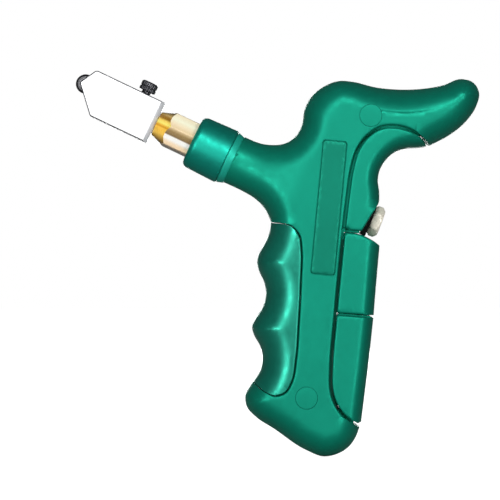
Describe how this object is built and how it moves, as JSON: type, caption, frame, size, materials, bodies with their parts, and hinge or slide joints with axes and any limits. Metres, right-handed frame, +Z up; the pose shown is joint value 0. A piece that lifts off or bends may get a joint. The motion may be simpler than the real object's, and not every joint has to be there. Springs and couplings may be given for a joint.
{
  "type": "glass cutter",
  "caption": "Pistol-handled glass cutter with a swivelling wheel head on a brass shank, lock collar, finger grip, breaking notch with hex bolt and storage doors for spare heads.",
  "frame": {"origin": "under the middle of the tool, at the lowest point of the handle's butt", "axes": "+Z up with the tool standing on its butt, +X rearwards to the tip of the palm horn, cutting head towards -X, thickness along Y"},
  "size_m": [0.1451, 0.028, 0.1385],
  "materials": {
    "green_shell": "satin moulded green",
    "green_grip": "satin darker green grip",
    "green_plate": "satin blank plate",
    "green_gloss": "glossy green",
    "ring_green": "satin green ring",
    "black_rubber": "matt black",
    "brass": "turned and polished",
    "pale_brass": "pale plated brass",
    "steel": "zinc plated",
    "head_steel": "bright ground faces",
    "axle_steel": "ground pin",
    "wheel_black": "dark hard metal",
    "screw_black": "black oxide, knurled",
    "tray_green": "matt dark green"
  },
  "bodies": {
    "handle": {"body_shell_left": "green_shell", "body_shell_right": "green_shell", "finger_grip": "green_grip", "back_pad": "green_shell", "notch_buffer": "black_rubber", "bolt_insert": "brass", "side_plate_left": "green_plate", "side_plate_right": "green_plate", "screw_caps": "green_shell", "shell_screws": "steel", "collar_ring": "ring_green", "neck_bush": "steel", "storage_tray": "tray_green", "door_pin": "steel", "spare_block_upper": "head_steel", "spare_block_lower": "head_steel", "spare_axles": "axle_steel"},
    "collar": {"lock_collar": "green_gloss"},
    "shank": {"brass_shank": "brass", "shank_clip": "steel"},
    "head": {"head_block": "head_steel", "wheel_axle": "axle_steel"},
    "wheel": {"cutting_wheel": "wheel_black"},
    "clamp_screw": {"thumbscrew": "screw_black"},
    "notch_bolt": {"hex_bolt": "pale_brass"},
    "middle_door": {"door_middle": "green_shell"},
    "lower_door": {"door_lower": "green_shell"},
    "upper_spare_wheel": {"spare_wheel_upper": "wheel_black"},
    "lower_spare_wheel": {"spare_wheel_lower": "wheel_black"},
    "upper_spare_screw": {"spare_thumbscrew_upper": "screw_black"},
    "lower_spare_screw": {"spare_thumbscrew_lower": "screw_black"}
  },
  "joints": [
    {"name": "collar_turn", "type": "hinge", "parent": "handle", "child": "collar", "pos_m": [-0.0287, 0, 0.1127], "axis": [-0.9026, 0, 0.4305], "range_deg": [0, 360]},
    {"name": "head_swivel", "type": "hinge", "parent": "handle", "child": "shank", "pos_m": [-0.0287, 0, 0.1127], "axis": [-0.9026, 0, 0.4305], "continuous": true},
    {"name": "head_slide", "type": "slide", "parent": "shank", "child": "head", "axis": [-0.9026, 0, 0.4305], "range_m": [0, 0.012]},
    {"name": "wheel_spin", "type": "hinge", "parent": "head", "child": "wheel", "pos_m": [-0.06908, 0, 0.13396], "axis": [0, 1, 0], "continuous": true},
    {"name": "thumbscrew_turn", "type": "hinge", "parent": "head", "child": "clamp_screw", "pos_m": [-0.0509, 0, 0.12329], "axis": [0.4305, 0, 0.9026], "range_deg": [0, 720]},
    {"name": "bolt_turn", "type": "hinge", "parent": "handle", "child": "notch_bolt", "pos_m": [0.0337, 0, 0.0851], "axis": [0.9336, 0, -0.3584], "range_deg": [0, 720]},
    {"name": "middle_door_hinge", "type": "hinge", "parent": "handle", "child": "middle_door", "pos_m": [0.02249, 0.0124, 0.0503], "axis": [0.0941, 0, 0.9956], "range_deg": [0, 100]},
    {"name": "lower_door_hinge", "type": "hinge", "parent": "handle", "child": "lower_door", "pos_m": [0.02249, 0.0124, 0.0503], "axis": [0.0941, 0, 0.9956], "range_deg": [0, 100]},
    {"name": "upper_spare_wheel_spin", "type": "hinge", "parent": "handle", "child": "upper_spare_wheel", "pos_m": [0.01842, -0.0007, 0.07952], "axis": [0.9956, 0, -0.0941], "continuous": true},
    {"name": "upper_spare_screw_turn", "type": "hinge", "parent": "handle", "child": "upper_spare_screw", "pos_m": [0.01645, -0.0025, 0.05861], "axis": [0, 1, 0], "range_deg": [0, 720]},
    {"name": "lower_spare_wheel_spin", "type": "hinge", "parent": "handle", "child": "lower_spare_wheel", "pos_m": [0.01987, -0.0007, 0.04492], "axis": [0.9956, 0, -0.0941], "continuous": true},
    {"name": "lower_spare_screw_turn", "type": "hinge", "parent": "handle", "child": "lower_spare_screw", "pos_m": [0.0179, -0.0025, 0.02402], "axis": [0, 1, 0], "range_deg": [0, 720]}
  ]
}
